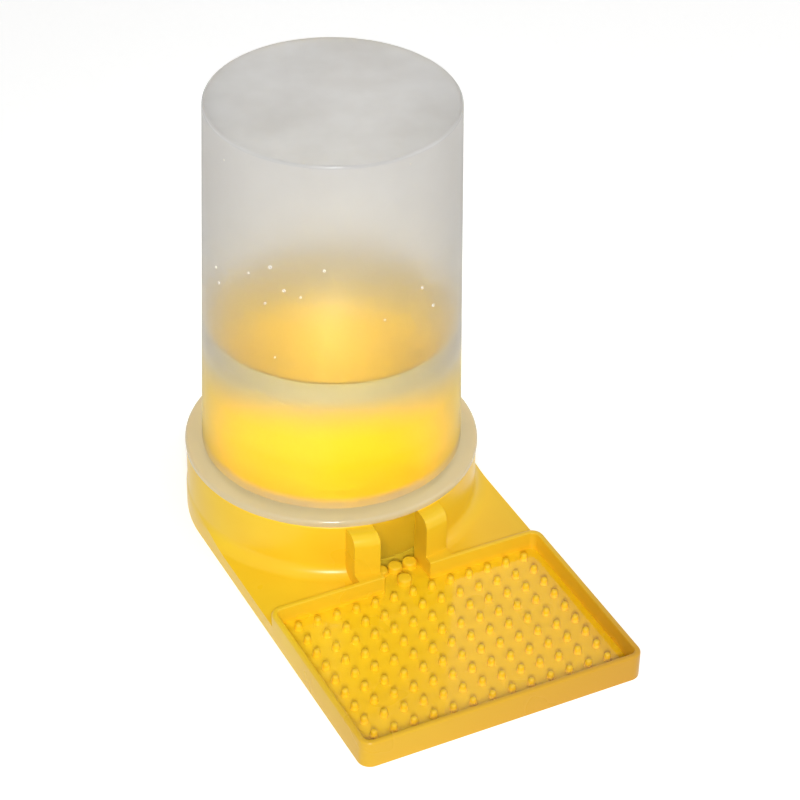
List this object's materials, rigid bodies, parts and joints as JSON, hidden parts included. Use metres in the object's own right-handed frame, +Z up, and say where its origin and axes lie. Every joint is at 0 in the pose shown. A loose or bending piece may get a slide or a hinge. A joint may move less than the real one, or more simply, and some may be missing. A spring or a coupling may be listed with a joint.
{
  "type": "hive entrance feeder",
  "caption": "Bee feeder with an upturned translucent bottle in a round cup, whose outlet leads to a low studded tray that goes into the hive entrance.",
  "frame": {"origin": "on the bottle's axis, in the plane of the underside", "axes": "+Z up along the bottle's axis, -Y out along the tray into the hive, +X to the right seen from the tray's end"},
  "size_m": [0.1148, 0.2048, 0.181],
  "materials": {
    "yellow_plastic": "satin",
    "milky_plastic": "satin",
    "sugar_syrup": "gloss"
  },
  "bodies": {
    "base": {"tray_floor": "yellow_plastic", "tray_rim": "yellow_plastic", "plate": "yellow_plastic", "cup_wall": "yellow_plastic", "outlet_sill": "yellow_plastic", "left_post": "yellow_plastic", "right_post": "yellow_plastic"},
    "bottle": {"skirt": "milky_plastic", "flange": "milky_plastic", "reservoir": "milky_plastic", "syrup": "sugar_syrup"}
  },
  "joints": [
    {"name": "bottle_lift", "type": "slide", "parent": "base", "child": "bottle", "axis": [0, 0, 1], "range_m": [0, 0.06]}
  ]
}
